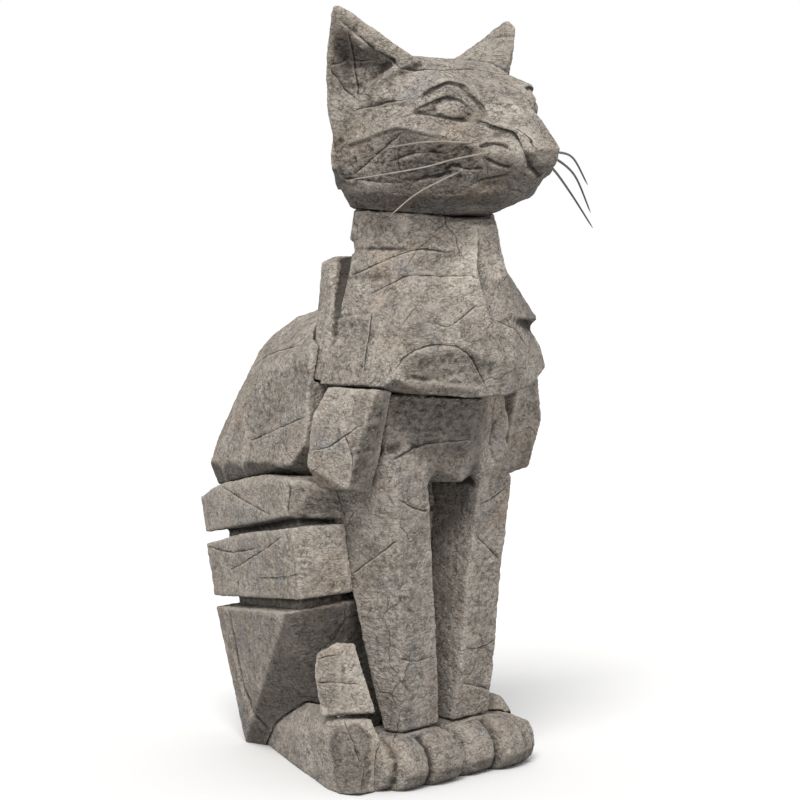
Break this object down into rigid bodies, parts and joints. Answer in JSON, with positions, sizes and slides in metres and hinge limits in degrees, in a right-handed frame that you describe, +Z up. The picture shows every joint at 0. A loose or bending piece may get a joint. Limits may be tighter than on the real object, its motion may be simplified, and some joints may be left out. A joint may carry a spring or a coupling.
{
  "type": "cat figurine",
  "caption": "Seated cat figurine built from faceted stone-like ceramic blocks pinned together, with pointed ears, a tail wrapped round one side and fine wire whiskers.",
  "frame": {"origin": "centre of the bounding box in plan, on the plane the figurine stands on", "axes": "+Z up, the cat faces -Y, +X is the cat's own left side; the tail lies on the -X side"},
  "size_m": [0.1248, 0.1692, 0.283],
  "materials": {
    "stoneware": "matt unglazed stoneware, carved and crackled like weathered stone, warm grey",
    "stoneware_light": "matt unglazed stoneware, carved and crackled like weathered stone, lighter warm grey",
    "steel_dowel": "plain drawn steel rod",
    "wire_pale": "thin wire painted pale grey-beige",
    "wire_dark": "thin wire, dark brown-grey"
  },
  "bodies": {
    "root": {"dowel_head": "steel_dowel", "dowel_chest": "steel_dowel", "dowel_nape": "steel_dowel", "dowel_back": "steel_dowel", "rod_haunch": "steel_dowel", "dowel_ear_left": "steel_dowel", "dowel_ear_right": "steel_dowel", "dowel_shoulder_left": "steel_dowel", "dowel_shoulder_right": "steel_dowel", "dowel_leg_left": "steel_dowel", "dowel_leg_right": "steel_dowel", "dowel_ankle_left": "steel_dowel", "dowel_ankle_right": "steel_dowel", "dowel_tail": "steel_dowel", "whisker_upper_right": "wire_pale", "whisker_middle_right": "wire_pale", "whisker_lower_right": "wire_pale", "whisker_upper_left": "wire_dark", "whisker_middle_left": "wire_dark", "whisker_lower_left": "wire_dark", "skull": "stoneware_light", "lower_jaw": "stoneware", "nose_bridge": "stoneware", "muzzle_pad_left": "stoneware", "muzzle_pad_right": "stoneware", "ear_left": "stoneware", "ear_right": "stoneware", "neck": "stoneware", "chest_mantle": "stoneware_light", "nape_slab": "stoneware", "shoulder_left": "stoneware_light", "shoulder_right": "stoneware_light", "back_block": "stoneware_light", "breast": "stoneware", "foreleg_left": "stoneware", "foreleg_right": "stoneware", "front_paw_left": "stoneware", "front_paw_right": "stoneware", "haunch_slab_upper": "stoneware_light", "haunch_slab_middle": "stoneware_light", "tail_base": "stoneware", "tail_tip": "stoneware_light", "haunch_base": "stoneware", "hind_paw_left": "stoneware", "hind_paw_right": "stoneware"}
  },
  "joints": []
}
